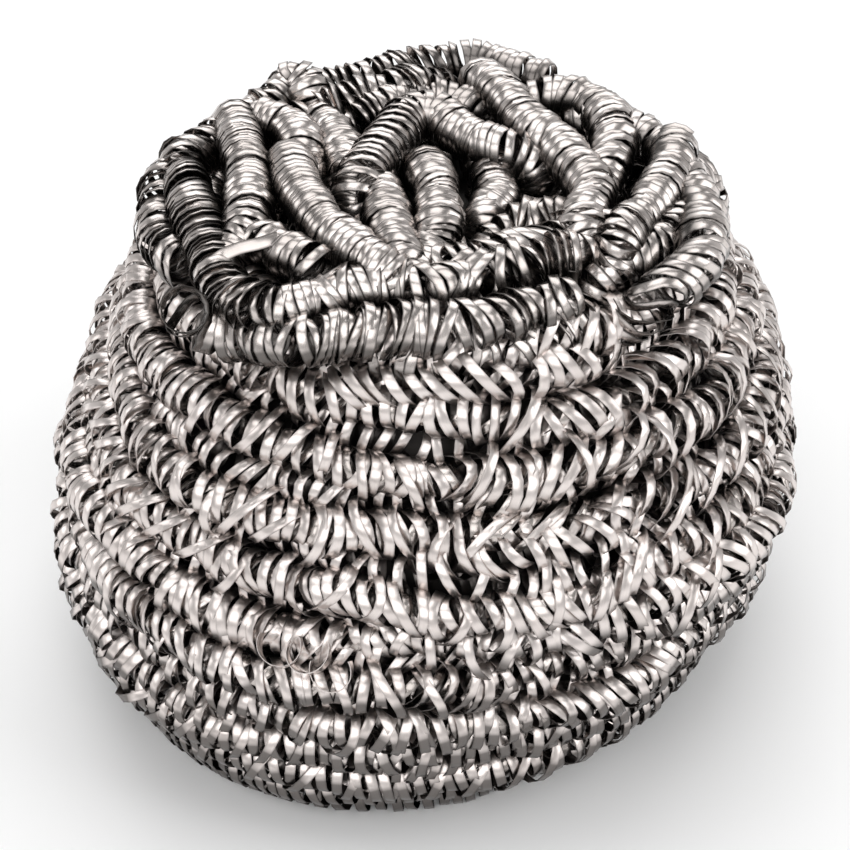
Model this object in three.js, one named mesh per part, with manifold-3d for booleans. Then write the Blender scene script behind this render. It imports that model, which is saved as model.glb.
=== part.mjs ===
// Stainless steel scourer: a pad wound from one long strand, itself a close coil of flat steel ribbon.
// The strand spirals out across the underside, climbs the sides in rows and ends in loops over the crown.
// Millimetres, +Z up, origin at the middle of the footprint. The front of the pad faces -Y.

import * as THREE from 'three';
import { mergeVertices } from 'three/addons/utils/BufferGeometryUtils.js';
import Module from 'manifold-3d';

// Driving dimensions of the strand and of the pad's sides, at the strand's centre line
const strandDiameter = 4.5;
const pressedFlat = 0.4; // how much of the strand is pressed flat where the pad rests
const footRadius = 31.0;
const bellyRadius = 37.6;
const bellyHeight = 20.0;
const rimHalfWidth = 26.0;
const rimHalfDepth = 25.2;
const rimHeight = 55.6;
const cornerBulge = 2.2; // how much fuller the sides are on the diagonals, above the foot
const footTuck = 0.1; // share by which the foot is drawn in on its tucked side
const tuckBearing = THREE.MathUtils.degToRad(-50); // where that side faces
const tuckStart = 14.0; // up to here it is drawn in fully
const tuckHeight = 36.0; // and from here up not at all
const crownOffset = 4.2; // how far the crown sits to the right of the foot
const crownSetback = 2.2; // how far it sits behind the foot
const shoulderPower = 1.35; // how late the sides turn in above the belly
const footPower = 2.2; // how late they turn in below it
const topDraw = 2.6; // how far the highest rows are drawn in under the rim
const drawDepth = 22.0; // how far below the rim that starts

// Driving dimensions of the winding
const rowRise = 4.6; // height from one row to the next
const topDrop = 2.6; // from the rim down to the end of the highest row
const undersidePitch = 4.9; // from one underside turn to the next
const undersideEyeRadius = 6.0; // where the spiral on the underside starts
const rowTilt = 2.4; // rows sit this much lower in front and higher behind
const radialWave = 0.75; // how far a row strays in and out
const radialRipple = 0.45; // a shorter wave on top of that one
const heightWave = 0.6; // how far a row strays up and down
const wavesPerTurn = 2.63;
const ripplesPerTurn = 5.21;
const heightWavesPerTurn = 3.41;

// Driving dimensions of the crown
const crownPitch = 5.6; // from one loop to the next, towards the middle
const crownRise = 1.0; // the crown swells by this much between rim and middle
const crownDimple = 4.5; // the middle of the crown sinks by this much
const dimplePower = 4; // how close to the middle the crown starts to sink
const endReach = 3.0; // how far a loop's tucked end goes on past its last point
const endDraw = 2.0; // how far that end is drawn towards the middle
const endDive = 6.0; // how deep it goes
const sunkDrop = 1.2; // how far the coils between the loops lie below the crown
const sunkPitch = 5.2; // from one of their turns to the next
const sunkEyeRadius = 8.0; // where their spiral starts
const coreDepth = 0.6; // how far the packed inside lies below the centre line of the strand
const grooveDepth = 0.9; // depth of the spiral groove in the underside

// Fineness of the facets
const strandSides = 6;
const strandStep = 11.8;
const crownStep = 5.0;
const leastSteps = 6;
const curveDivisions = 2000;
const coreSides = 20;
const coreRows = 7;
const weldDistance = 1e-4;

const strandRadius = strandDiameter / 2;
const footHeight = strandRadius - pressedFlat;
const fullTurn = 2 * Math.PI;
const topBearing = THREE.MathUtils.degToRad(-150); // where the highest row runs on into the rim
const rowCount = (rimHeight - topDrop - footHeight) / rowRise;
const undersideTurns = (footRadius - undersideEyeRadius) / undersidePitch;

// Loops over the crown: [bearing in degrees, rows in from the rim, drop below the crown] along each one,
// with bearing 0 at +X. A lift raises a loop that crosses its neighbours, and an open end isn't tucked in.
const crownLoops = {
  rim: {
    lift: 0,
    openStart: true,
    openFinish: true,
    along: [
      [210, -0.25, topDrop], [196, -0.45, 2.5], [187, -0.4, 2], [174, -0.25, 1.4], [160, 0.15, 0.6],
      [145, 0.4, 0.2], [130, 0.55], [111, 0.7], [95, 0.3], [82, 0.05], [72, 0.35], [60, 0.5],
    ],
  },
  rightRim: {
    lift: 0,
    along: [
      [40, 1.15, 0.8], [30, 0.9], [14, 0.55], [-2, 0.35], [-12, 0.15], [-23, -0.15], [-35, -0.5],
      [-45, -0.4, 0.4], [-49, -0.1, 3.2],
    ],
  },
  frontRoll: {
    lift: 0,
    openStart: true,
    openFinish: true,
    along: [
      [-134, -1.45, -0.6], [-136, -1.25, 0.9], [-135, -0.9, 2.9], [-129, -0.65, 3.4], [-117, -0.7, 1.6],
      [-110, -0.3, 1.2], [-99, 0, 1], [-86, 0.1, 1], [-74, 0.3, 0.6], [-58, 0.3, 0.3],
    ],
  },
  frontRing: {
    lift: 0,
    along: [
      [-84, 1.15, 0.6], [-94, 0.85], [-104, 0.8], [-113, 0.5], [-119, 0], [-125, -0.5], [-131, -0.55],
      [-137, -0.4], [-148, 0], [-159, 0.15], [-172, 0.15], [-183, 0, 0.2], [-192, -0.2, 0.8],
    ],
  },
  frontLoops: { lift: -0.2, along: [[-85, 1.4, 0.6], [-76, 1.25, 0.2], [-60, 1.3], [-46, 1.15, 0.6]] },
  frontLedge: { lift: 0, along: [[-105, 0.2, 4.4], [-91, 0.25, 4.4], [-75, 0.3, 3.8], [-60, 0.3, 3.4]] },
  backLedge: {
    lift: 0,
    along: [[158, 0, 3.4], [130, 0.1, 3], [95, 0, 3], [60, 0.2, 3], [30, 0.2, 2.8], [8, 0, 3]],
  },
  rightLedge: { lift: -0.6, along: [[8, 0.15, 1.4], [-13, 0.4, 0.6], [-28, 0.45, 0.4], [-47, 0.65, 0.8]] },
  crossFold: { lift: 0.6, along: [[-142, 0.7], [-136, 0.8], [-129, 0.8], [-122, 0.65]] },
  rightBar: {
    lift: 1.2,
    openStart: true,
    along: [[12, 0.35, 0.3], [1, 0.6], [-11, 0.75], [-23, 0.85], [-40, 0.8, 0.6]],
  },
  leftBar: {
    lift: 0.8,
    along: [[154, 0.4, 0.4], [168, 0.95], [186, 1.2], [203, 1], [213, 0.65], [215, 0.3, 0.6]],
  },
  leftPetal: {
    lift: 1.4,
    along: [[179, 1.95, 0.4], [200, 1.95], [215, 1.85], [229, 1.6], [242, 1.35], [255, 1, 0.6]],
  },
  upperPetal: { lift: 0.4, along: [[148, 0.65, 0.6], [150, 1.2], [157, 1.8], [167, 2.1, 0.6]] },
  darkPetal: { lift: 0, along: [[137, 1.6, 0.4], [148, 2.35], [163, 2.85], [180, 3, 0.6]] },
  backArch: {
    lift: 1.6,
    along: [
      [192, 3.15, 0.6], [164, 3.35], [134, 3.25], [114, 2.95], [101, 2.8], [92, 2.9], [82, 3.2], [63, 3.4],
      [40, 3.4], [22, 3.2, 0.4],
    ],
  },
  backRow: { lift: 0.3, along: [[136, 1.4, 0.4], [127, 1.55], [115, 1.55], [103, 1.5], [94, 1.3, 0.6]] },
  backFold: { lift: -0.6, along: [[125, 1.9, 0.4], [107, 1.85], [91, 1.7], [76, 1.9, 0.4]] },
  longRightArc: {
    lift: 1.0,
    along: [
      [76, 1.25, 0.4], [65, 1.9], [51, 2.35], [32, 2.55], [12, 2.45], [-7, 2.2], [-23, 1.85], [-42, 1.5, 0.6],
    ],
  },
  outerRightArc: {
    lift: 0.4,
    along: [[56, 1.2, 0.4], [49, 1], [40, 0.95], [28, 1.15], [13, 1.5], [-13, 1.8, 0.6]],
  },
  frontFold: { lift: -0.6, along: [[-92, 1.65, 0.2], [-81, 1.65], [-67, 1.8], [-53, 1.8], [-40, 1.7]] },
  rightFold: { lift: -0.6, along: [[-61, 2.55, 0.2], [-45, 2.45], [-35, 2.1], [-34, 1.55], [-37, 1.05]] },
  leftFinger: { lift: 0.4, along: [[177, 3.4, 0.6], [214, 3.35], [242, 2.65], [256, 1.65, 0.6]] },
  middleFinger: {
    lift: 0,
    along: [[135, 4.25, -3], [252, 4.15, -3.3], [266, 3.35, -1.4], [267, 2.6, -0.2], [265, 2.1, 0.8]],
  },
  rightFinger: { lift: 0.2, along: [[40, 3.5, 0.6], [8, 3.7], [-29, 3.55], [-53, 3.35, 0.6]] },
  rimBump: { lift: 0, along: [[137, 0.5, -0.4], [132, 0.35, -1.2], [130, 0.55, -1.5], [132, 1.05, -0.4]] },
};

// A stray length that lies over the rows on the left: [bearing in degrees, height, lift off the rows].
const strayAlong = [
  [-172, 27, -5], [-166, 24, 0.6], [-152, 19, 0.6], [-138, 16, 0.6], [-122, 15.5, 0.6], [-114, 15, -5],
];

// The pad's sides: the radius at the centre line of a row, fullest at the belly and drawn in under the rim.
function sideRadius(height) {
  const above = THREE.MathUtils.clamp((height - bellyHeight) / (rimHeight - bellyHeight), 0, 1);
  const below = THREE.MathUtils.clamp((bellyHeight - height) / (bellyHeight - footHeight), 0, 1);
  const shoulder = (bellyRadius - rimHalfWidth) * above ** shoulderPower;
  const drawn = topDraw * THREE.MathUtils.smoothstep(height, rimHeight - drawDepth, rimHeight);
  return bellyRadius - shoulder - drawn - (bellyRadius - footRadius) * below ** footPower;
}

// A point round the pad's axis, with the full corners, the tucked foot and the oval, offset crown worked in.
function roundPoint(radius, bearing, height) {
  const up = THREE.MathUtils.smoothstep(height, bellyHeight, rimHeight);
  const depthRatio = THREE.MathUtils.lerp(1, rimHalfDepth / rimHalfWidth, up);
  const low = 1 - THREE.MathUtils.smoothstep(height, tuckStart, tuckHeight);
  const bulge = cornerBulge * (1 - up) * (1 - low) * Math.sin(2 * bearing) ** 2;
  const tuck = footTuck * low * Math.max(Math.cos(bearing - tuckBearing), 0) ** 2;
  const reach = radius * (1 + bulge / bellyRadius - tuck);
  return new THREE.Vector3(
    reach * Math.cos(bearing) + crownOffset * Math.sqrt(height / rimHeight),
    reach * Math.sin(bearing) * depthRatio + crownSetback * up,
    height,
  );
}

// The strand's main run: out across the underside, then up the sides one row a turn, clockwise from above.
class Winding extends THREE.Curve {
  getPoint(t) {
    const turn = THREE.MathUtils.lerp(-undersideTurns, rowCount, t);
    const bearing = topBearing + fullTurn * (rowCount - turn);
    if (turn < 0) {
      return roundPoint(footRadius + turn * undersidePitch, bearing, footHeight);
    }
    const wave = radialWave * Math.sin(fullTurn * wavesPerTurn * turn);
    const ripple = radialRipple * Math.cos(fullTurn * ripplesPerTurn * turn);
    const rise = rowTilt * Math.sin(bearing) + heightWave * Math.cos(fullTurn * heightWavesPerTurn * turn);
    const level = footHeight + turn * rowRise;
    const swell = Math.sin(Math.PI * turn / rowCount);
    return roundPoint(sideRadius(level) + swell * (wave + ripple), bearing, level + swell * rise);
  }
}

// The coils that show between the loops: a flat spiral in from the rim.
class SunkenSpiral extends THREE.Curve {
  getPoint(t) {
    const radius = THREE.MathUtils.lerp(rimHalfWidth - sunkPitch / 2, sunkEyeRadius, t);
    const point = roundPoint(radius, fullTurn * radius / sunkPitch, rimHeight);
    return point.setZ(crownHeight((rimHalfWidth - radius) / crownPitch) - sunkDrop);
  }
}

// Height of the crown's surface at so many rows in from the rim.
function crownHeight(rowsIn) {
  const inward = THREE.MathUtils.clamp(rowsIn * crownPitch / rimHalfWidth, 0, 1);
  return rimHeight + crownRise * Math.sin(Math.PI * inward) - crownDimple * inward ** dimplePower;
}

function crownPoint([degrees, rowsIn, drop = 0], lift) {
  const radius = rimHalfWidth - rowsIn * crownPitch;
  const point = roundPoint(radius, THREE.MathUtils.degToRad(degrees), rimHeight);
  return point.setZ(crownHeight(rowsIn) + lift - drop);
}

function curveThrough(points) {
  return new THREE.CatmullRomCurve3(points, false, 'catmullrom');
}

// A loop over the crown, with its tucked ends carried on and down into the pad.
function crownCurve({ along, lift, openStart, openFinish }) {
  const points = along.map((knot) => crownPoint(knot, lift));
  const middle = roundPoint(0, 0, rimHeight);
  const tuck = (end, next) => {
    const onward = end.clone().sub(next).setZ(0).setLength(endReach);
    const inward = middle.clone().sub(end).setZ(0).setLength(endDraw);
    const bend = end.clone().addScaledVector(onward, 0.7).setZ(end.z - 0.3 * endDive);
    return [bend, end.clone().add(onward).add(inward).setZ(end.z - endDive)];
  };
  const first = openStart ? [] : tuck(points[0], points[1]).reverse();
  const last = openFinish ? [] : tuck(points.at(-1), points.at(-2));
  return curveThrough([...first, ...points, ...last]);
}

function strayCurve() {
  return curveThrough(strayAlong.map(([degrees, height, lift]) => (
    roundPoint(sideRadius(height) + lift, THREE.MathUtils.degToRad(degrees), height)
  )));
}

// The strand as a round bar along a curve, in steps of about the given length.
function strandAlong(curve, step) {
  const corners = Array.from({ length: strandSides }, (_, corner) => {
    const angle = fullTurn * corner / strandSides;
    return new THREE.Vector2(strandRadius * Math.cos(angle), strandRadius * Math.sin(angle));
  });
  curve.arcLengthDivisions = curveDivisions;
  const steps = Math.max(leastSteps, Math.round(curve.getLength() / step));
  const run = { steps, extrudePath: curve, bevelEnabled: false };
  return new THREE.ExtrudeGeometry(new THREE.Shape(corners), run);
}

// The packed inside of the pad, behind the rows, as a turned form.
function packedInside() {
  const profile = [new THREE.Vector2(0, grooveDepth), new THREE.Vector2(footRadius - coreDepth, grooveDepth)];
  for (let row = 1; row <= coreRows; row += 1) {
    const height = THREE.MathUtils.lerp(footHeight, rimHeight - coreDepth, row / coreRows);
    profile.push(new THREE.Vector2(sideRadius(height) - coreDepth, height));
  }
  const crownRows = Math.floor(rimHalfWidth / crownPitch);
  for (let row = 1; row < crownRows; row += 1) {
    profile.push(new THREE.Vector2(rimHalfWidth - row * crownPitch, crownHeight(row) - coreDepth));
  }
  profile.push(new THREE.Vector2(0, rimHeight - crownDimple - coreDepth));
  const turned = new THREE.LatheGeometry(profile, coreSides);
  turned.rotateX(Math.PI / 2);
  const corner = new THREE.Vector3();
  const place = turned.attributes.position;
  for (let index = 0; index < place.count; index += 1) {
    corner.fromBufferAttribute(place, index);
    const radius = Math.hypot(corner.x, corner.y);
    const settled = roundPoint(radius, Math.atan2(corner.y, corner.x), corner.z);
    place.setXYZ(index, settled.x, settled.y, settled.z);
  }
  return turned;
}

const wasm = await Module();
wasm.setup();

// A closed geometry as a solid that can be joined and cut.
function solidOf(geometry) {
  const bare = geometry.clone();
  bare.deleteAttribute('normal');
  bare.deleteAttribute('uv');
  const merged = mergeVertices(bare, weldDistance);
  return new wasm.Manifold(new wasm.Mesh({
    numProp: merged.attributes.position.itemSize,
    vertProperties: new Float32Array(merged.attributes.position.array),
    triVerts: new Uint32Array(merged.index.array),
  }));
}

function geometryOf(solid) {
  const mesh = solid.getMesh();
  const geometry = new THREE.BufferGeometry();
  geometry.setAttribute('position', new THREE.BufferAttribute(mesh.vertProperties, mesh.numProp));
  geometry.setIndex(new THREE.BufferAttribute(mesh.triVerts, 1));
  geometry.computeVertexNormals();
  return geometry;
}

// The wound pad: strand, crown loops and stray joined to the inside, then pressed flat where it rests.
function woundPad() {
  let pad = solidOf(packedInside()).add(solidOf(strandAlong(new Winding(), strandStep)));
  pad = pad.add(solidOf(strandAlong(new SunkenSpiral(), strandStep)));
  for (const loop of Object.values(crownLoops)) {
    pad = pad.add(solidOf(strandAlong(crownCurve(loop), crownStep)));
  }
  pad = pad.add(solidOf(strandAlong(strayCurve(), crownStep)));
  const room = 4 * bellyRadius;
  const below = new THREE.BoxGeometry(room, room, room).translate(0, 0, -room / 2);
  const skins = pad.subtract(solidOf(below)).decompose();
  // A pocket shut in between crossing loops is a skin of its own: it is left out, so it is filled.
  return geometryOf(skins.reduce((outer, skin) => (skin.volume() > outer.volume() ? skin : outer)));
}

const steel = new THREE.MeshStandardMaterial({ color: 0xc9c3be, roughness: 0.3, metalness: 1.0 });

const geometry = woundPad();
geometry.computeBoundingBox();
const middle = geometry.boundingBox.getCenter(new THREE.Vector3());

const pad = new THREE.Mesh(geometry, steel);
pad.name = 'coiled_ribbon_pad';
pad.position.set(-middle.x, -middle.y, 0);

const scourer = new THREE.Group();
scourer.name = 'scourer';
scourer.add(pad);

export default scourer;
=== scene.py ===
"""Looks of a stainless steel scourer: one long strand of coiled flat ribbon, wound into a round pad.

The strand follows the same run as the solid: out across the underside, up the sides in rows, round the rim
and over the crown in folded loops. Here each length of strand is wound as real ribbon, turn by turn.
Routes are worked out in millimetres and turned into metres when a mesh is made.
"""

import logging
import math
from dataclasses import dataclass, field, replace
from enum import Enum

import bpy
import numpy as np
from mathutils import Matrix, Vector


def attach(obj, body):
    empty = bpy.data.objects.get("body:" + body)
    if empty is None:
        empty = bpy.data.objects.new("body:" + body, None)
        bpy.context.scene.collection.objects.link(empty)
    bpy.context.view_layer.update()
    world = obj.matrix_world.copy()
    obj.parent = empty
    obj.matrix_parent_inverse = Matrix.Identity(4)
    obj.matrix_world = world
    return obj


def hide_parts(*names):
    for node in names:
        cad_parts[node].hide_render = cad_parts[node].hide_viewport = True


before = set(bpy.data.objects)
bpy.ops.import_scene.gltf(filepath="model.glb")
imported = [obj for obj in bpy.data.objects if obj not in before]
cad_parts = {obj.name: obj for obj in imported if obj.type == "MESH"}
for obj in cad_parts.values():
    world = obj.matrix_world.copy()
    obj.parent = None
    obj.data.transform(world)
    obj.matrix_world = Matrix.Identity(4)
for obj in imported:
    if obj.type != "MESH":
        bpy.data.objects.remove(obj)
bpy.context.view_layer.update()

Array = np.ndarray
Knot = tuple[float, ...]
Span = tuple[float, float]
Triple = tuple[float, float, float]
Waves = tuple[tuple[float, float, int], ...]
Socket = bpy.types.NodeSocket
Material = bpy.types.Material
Feed = Socket | float | tuple[float, ...]

MM = 0.001
MM_PER_CM = 10.0
FULL_TURN = 2.0 * math.pi
UP = np.array([0.0, 0.0, 1.0])
LEVEL = np.array([1.0, 1.0, 0.0])
NOISE_KNOTS = 4096
FINE_STEP = 0.25
PAD_NODE = "coiled_ribbon_pad"
RIBBON_MAP = "ribbon"
BAKE_MAP = "OFBake"
# Attribute that sets the painted shade: how far each ribbon step lies inside the coil or faces down.
INWARD_SHADE = "inward"

log = logging.getLogger("scourer")


def smoothstep(value: Array, low: float, high: float) -> Array:
    """Eased step from 0 to 1 between low and high: 3t squared less 2t cubed."""
    t = np.clip((np.asarray(value, float) - low) / (high - low), 0.0, 1.0)
    return t * t * (3.0 - 2.0 * t)


def unit(vectors: Array) -> Array:
    """Vectors along the last axis, each at length one."""
    return vectors / np.maximum(np.linalg.norm(vectors, axis=-1, keepdims=True), 1e-9)


def wander(position: Array, spacing: float, seed: int) -> Array:
    """Smooth seeded noise from -1 to 1: random values at even knots, eased from one knot to the next.

    Args:
        position: where to read the noise.
        spacing: distance between knots, in the units of position.
        seed: which noise it is.

    Returns:
        One value for each position.
    """
    table = np.random.default_rng(seed).uniform(-1.0, 1.0, NOISE_KNOTS)
    place = np.asarray(position, float) / spacing
    knot = np.floor(place).astype(int)
    share = smoothstep(place - knot, 0.0, 1.0)
    return table[knot % NOISE_KNOTS] * (1.0 - share) + table[(knot + 1) % NOISE_KNOTS] * share


def waves(position: Array, terms: Waves, seed: int) -> Array:
    """Sum of noises, one for each term of share, spacing between knots and step on from the seed."""
    return sum(share * wander(position, spacing, seed + step) for share, spacing, step in terms)


def curve_through(knots: Array, per_span: int = 24) -> Array:
    """A uniform Catmull-Rom curve through the knots, its ends mirrored on, as in the solid.

    On each span the point is half of (2b + (c - a)t + (2a - 5b + 4c - d)t squared + (3b - a - 3c + d)t
    cubed), where b and c are the span's ends and a and d the knots before and after.

    Args:
        knots: points to pass through.
        per_span: points worked out between two knots.

    Returns:
        Points along the curve.
    """
    ends = np.vstack([2 * knots[0] - knots[1], knots, 2 * knots[-1] - knots[-2]])
    a, b, c, d = (ends[i:len(ends) - 3 + i, None, :] for i in range(4))
    t = np.linspace(0.0, 1.0, per_span, endpoint=False)[None, :, None]
    spans = 0.5 * (2 * b + (c - a) * t + (2 * a - 5 * b + 4 * c - d) * t**2 + (3 * b - a - 3 * c + d) * t**3)
    return np.vstack([spans.reshape(-1, 3), knots[-1:]])


@dataclass(frozen=True)
class PadForm:
    """Sizes of the wound pad in millimetres, at the strand's centre line, as in the solid."""

    strand_diameter: float = 4.5
    pressed_flat: float = 0.4
    foot_radius: float = 31.0
    belly_radius: float = 37.6
    belly_height: float = 20.0
    rim_half_width: float = 26.0
    rim_half_depth: float = 25.2
    rim_height: float = 55.6
    corner_bulge: float = 2.2
    foot_tuck: float = 0.1
    tuck_bearing: float = math.radians(-50.0)
    tuck_start: float = 14.0
    tuck_height: float = 36.0
    crown_offset: float = 4.2
    crown_setback: float = 2.2
    shoulder_power: float = 1.35
    foot_power: float = 2.2
    top_draw: float = 2.6
    draw_depth: float = 22.0
    row_rise: float = 4.6
    top_drop: float = 2.6
    underside_pitch: float = 4.9
    underside_eye_radius: float = 6.0
    row_tilt: float = 2.4
    radial_wave: float = 0.75
    radial_ripple: float = 0.45
    height_wave: float = 0.6
    waves_per_turn: float = 2.63
    ripples_per_turn: float = 5.21
    height_waves_per_turn: float = 3.41
    crown_pitch: float = 5.6
    crown_rise: float = 1.0
    crown_dimple: float = 4.5
    dimple_power: float = 4.0
    end_reach: float = 3.0
    end_draw: float = 2.0
    end_dive: float = 6.0
    top_bearing: float = math.radians(-150.0)

    @property
    def foot_height(self) -> float:
        """Height of the lowest row's centre line."""
        return self.strand_diameter / 2 - self.pressed_flat

    @property
    def row_count(self) -> float:
        """Rows from the foot to where the strand runs on into the rim."""
        return (self.rim_height - self.top_drop - self.foot_height) / self.row_rise

    @property
    def underside_turns(self) -> float:
        """Turns of the spiral on the underside."""
        return (self.foot_radius - self.underside_eye_radius) / self.underside_pitch

    def side_radius(self, height: Array) -> Array:
        """Radius of the sides: the belly's, less a power of the way up to the rim or down to the foot.

        The highest rows are drawn in a little more, under the rim.

        Args:
            height: heights of centre lines.

        Returns:
            A radius for each height.
        """
        above = np.clip((height - self.belly_height) / (self.rim_height - self.belly_height), 0, 1)
        below = np.clip((self.belly_height - height) / (self.belly_height - self.foot_height), 0, 1)
        shoulder = (self.belly_radius - self.rim_half_width) * above**self.shoulder_power
        drawn = self.top_draw * smoothstep(height, self.rim_height - self.draw_depth, self.rim_height)
        foot = (self.belly_radius - self.foot_radius) * below**self.foot_power
        return self.belly_radius - shoulder - drawn - foot

    def round_point(self, radius: Array, bearing: Array, height: Array) -> Array:
        """Points round the axis, with full corners and one tucked side low down and an oval, offset crown.

        Args:
            radius: distances from the axis before the corners and the oval.
            bearing: angles from +X.
            height: heights.

        Returns:
            Points, one row each.
        """
        up = smoothstep(height, self.belly_height, self.rim_height)
        depth = 1.0 + (self.rim_half_depth / self.rim_half_width - 1.0) * up
        low = 1.0 - smoothstep(height, self.tuck_start, self.tuck_height)
        bulge = self.corner_bulge * (1.0 - up) * (1.0 - low) * np.sin(2.0 * bearing) ** 2
        tuck = self.foot_tuck * low * np.maximum(np.cos(bearing - self.tuck_bearing), 0.0) ** 2
        reach = radius * (1.0 + bulge / self.belly_radius - tuck)
        across = reach * np.cos(bearing) + self.crown_offset * np.sqrt(height / self.rim_height)
        back = reach * np.sin(bearing) * depth + self.crown_setback * up
        return np.stack(np.broadcast_arrays(across, back, height), axis=-1)

    def winding_bearing(self, turn: Array) -> Array:
        """Bearing of the strand at so many turns up from the foot, clockwise from above."""
        return self.top_bearing + FULL_TURN * (self.row_count - turn)

    def winding(self, turn: Array, inward: float = 0.0, raised: float = 0.0) -> Array:
        """The strand's main run: a flat spiral below turn 0, then a rising one whose rows wave and tilt.

        Args:
            turn: turns up from the foot, negative across the underside.
            inward: how far inside the outer rows to run.
            raised: how many rows above the strand's own rows to run.

        Returns:
            Points of the centre line.
        """
        bearing = self.winding_bearing(turn)
        climb = np.maximum(turn, 0.0)
        swell = np.sin(math.pi * climb / self.row_count)
        wave = self.radial_wave * np.sin(FULL_TURN * self.waves_per_turn * turn)
        ripple = self.radial_ripple * np.cos(FULL_TURN * self.ripples_per_turn * turn)
        height_wave = self.height_wave * np.cos(FULL_TURN * self.height_waves_per_turn * turn)
        level = self.foot_height + (climb + raised) * self.row_rise
        radius = self.side_radius(level) + np.minimum(turn, 0.0) * self.underside_pitch
        rise = swell * (self.row_tilt * np.sin(bearing) + height_wave)
        return self.round_point(radius + swell * (wave + ripple) - inward, bearing, level + rise)

    def crown_height(self, rows_in: Array) -> Array:
        """Height of the crown: a half sine swell between rim and middle, less a power of the way in."""
        inward = np.clip(rows_in * self.crown_pitch / self.rim_half_width, 0.0, 1.0)
        swell = self.crown_rise * np.sin(math.pi * inward)
        return self.rim_height + swell - self.crown_dimple * inward**self.dimple_power

    def crown_points(self, knots: Array, lift: float) -> Array:
        """Points on the crown from bearing in degrees, rows in from the rim and drop below the crown.

        Args:
            knots: one row of the three numbers each.
            lift: how far the loop is raised over its neighbours.

        Returns:
            Points of the loop's centre line.
        """
        radius = self.rim_half_width - knots[:, 1] * self.crown_pitch
        points = self.round_point(radius, np.radians(knots[:, 0]), np.full(len(knots), self.rim_height))
        points[:, 2] = self.crown_height(knots[:, 1]) + lift - knots[:, 2]
        return points

    def middle(self) -> Array:
        """Middle of the wound rows' box, which the solid puts at the origin."""
        turns = np.linspace(0.0, self.row_count, 4000)
        rows = self.winding(turns)
        return np.append((rows.min(0) + rows.max(0))[:2] / 2, 0.0)


FORM = PadForm()
PAD_MIDDLE = FORM.middle()
CROWN_MIDDLE = np.array([FORM.crown_offset, FORM.crown_setback, 0.0])


@dataclass
class Route:
    """A strand's centre line, with the way that its open side faces, its slack and its share of full girth.

    Slack is 0 for a strand as it was coiled, up to 1 for one that came loose and down to -1 for a tidy one.
    Outward, slack and girth may be given once for the whole line.
    """

    points: Array
    outward: Array
    slack: Array | float
    girth: Array | float = 1.0
    place: Array = field(init=False)

    def __post_init__(self) -> None:
        """Works out how far along the line each point lies, and what it has of the other values."""
        steps = np.linalg.norm(np.diff(self.points, axis=0), axis=1)
        self.place = np.concatenate([[0.0], np.cumsum(steps)])
        self.outward = np.broadcast_to(self.outward, self.points.shape)
        self.slack = np.broadcast_to(self.slack, len(self.points))
        self.girth = np.broadcast_to(self.girth, len(self.points))

    @property
    def length(self) -> float:
        """Length of the centre line."""
        return float(self.place[-1])

    def read(self, values: Array, at: Array) -> Array:
        """Values along the line, read at distances from its start.

        Args:
            values: one row for each point of the line.
            at: distances from the start.

        Returns:
            The values there.
        """
        if values.ndim == 1:
            return np.interp(at, self.place, values)
        return np.stack([np.interp(at, self.place, column) for column in values.T], axis=-1)

    def frames(self, at: Array) -> tuple[Array, Array, Array]:
        """Centre, outward direction and sideways direction at distances from the start.

        The outward direction is the given one with its share along the line taken out, and the sideways
        one is square to both.

        Args:
            at: distances from the start.

        Returns:
            Centres, outward and sideways directions.
        """
        forward = unit(self.read(np.gradient(self.points, axis=0), at))
        facing = self.read(self.outward, at)
        out = unit(facing - (facing * forward).sum(-1, keepdims=True) * forward)
        return self.read(self.points, at), out, np.cross(forward, out)


@dataclass(frozen=True)
class CoilStyle:
    """How ribbon is coiled into a strand: sizes in millimetres, lean, bow and stray as shares of the radius.

    Twist and shingle are in radians: twist comes and goes, and shingle tilts every turn over the next one.
    Side shade is how soon a turn counts as facing inward, low shade how much more where it faces down, and
    foot shade what is added to that near the foot: together they set painted shade, which darkens the
    ribbon's colour inside the coil, on the undersides of turns and near the foot. The loose and tidy values
    are changes by slack, and the waves are the noises behind each spread.
    """

    radius: float
    pitch: float
    ribbon_width: float = 0.92
    ribbon_thickness: float = 0.08
    sense: int = 1
    segments: int = 14
    pitch_spread: float = 0.12
    radius_spread: float = 0.05
    lean_spread: float = 0.1
    bow_spread: float = 0.1
    most_lean: float = 0.9
    stray: float = 0.0
    side_shade: float = 1.0
    low_shade: float = 0.5
    foot_shade: float = 1.0
    twist: float = 0.1
    shingle: float = 0.0
    loose_pitch: float = 0.22
    tidy_pitch: float = -0.2
    loose_spread: float = 0.8
    loose_swell: float = 0.06
    foot_heights: Span = (14.0, 32.0)
    facing_down: Span = (-0.4, 0.8)
    pitch_waves: Waves = ((0.8, 9.0, 0), (0.5, 2.6, 9))
    radius_waves: Waves = ((1.0, 1.1, 1), (0.6, 6.0, 2))
    lean_waves: Waves = ((0.6, 16.0, 3), (0.8, 1.4, 4))
    bow_waves: Waves = ((0.75, 11.0, 7), (0.5, 2.1, 8))
    twist_waves: Waves = ((1.0, 1.3, 5), (0.5, 0.45, 6))
    stray_waves: Waves = ((1.0, 1.2, 10),)


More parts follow.
